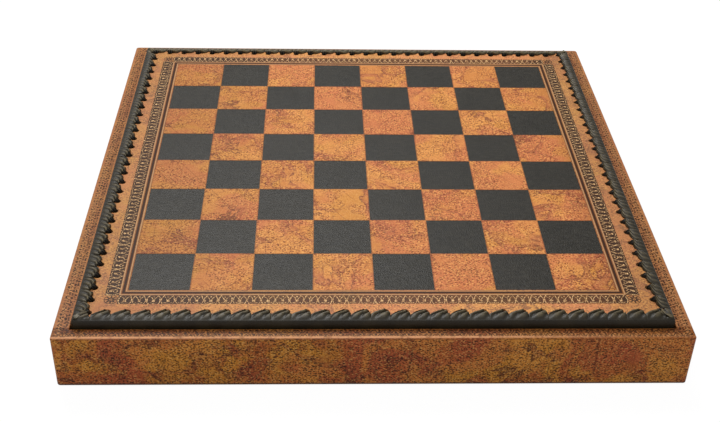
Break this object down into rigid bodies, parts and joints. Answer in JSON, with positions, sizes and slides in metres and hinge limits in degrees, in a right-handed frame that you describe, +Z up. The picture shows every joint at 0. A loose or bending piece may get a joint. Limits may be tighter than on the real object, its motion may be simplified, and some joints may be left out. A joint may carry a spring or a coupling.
{
  "type": "chess box",
  "caption": "Low square box in printed leatherette whose lift-off lid is a chessboard with a leather-laced edge, over velvet-lined compartments for the chessmen.",
  "frame": {"origin": "on the table, under the middle of the box", "axes": "+Z up; -Y towards the player who has a dark square at the near left; +X to that player's right"},
  "size_m": [0.35, 0.35, 0.0395],
  "materials": {
    "printed_leatherette": "satin print",
    "dark_leatherette": "satin grain",
    "lacing_leather": "satin",
    "board_wood": "raw board",
    "velvet": "velvet pile",
    "baize": "matted baize",
    "pin_steel": "plain"
  },
  "bodies": {
    "box": {"front_wall": "board_wood", "front_cover": "printed_leatherette", "front_ledge": "board_wood", "front_lining": "velvet", "right_wall": "board_wood", "right_cover": "printed_leatherette", "right_ledge": "board_wood", "right_lining": "velvet", "back_wall": "board_wood", "back_cover": "printed_leatherette", "back_ledge": "board_wood", "back_lining": "velvet", "left_wall": "board_wood", "left_cover": "printed_leatherette", "left_ledge": "board_wood", "left_lining": "velvet", "corner_keys": "board_wood", "base_panel": "board_wood", "base_pins": "pin_steel", "underside_baize": "baize", "floor_lining": "velvet", "long_divider": "velvet", "cross_divider": "velvet"},
    "board_lid": {"board_core": "board_wood", "board_facing": "printed_leatherette", "dark_squares": "dark_leatherette", "board_backing": "dark_leatherette", "front_lacing": "lacing_leather", "right_lacing": "lacing_leather", "back_lacing": "lacing_leather", "left_lacing": "lacing_leather"}
  },
  "joints": [
    {"name": "lid_lift", "type": "slide", "parent": "box", "child": "board_lid", "axis": [0, 0, 1], "range_m": [0, 0.12]}
  ]
}
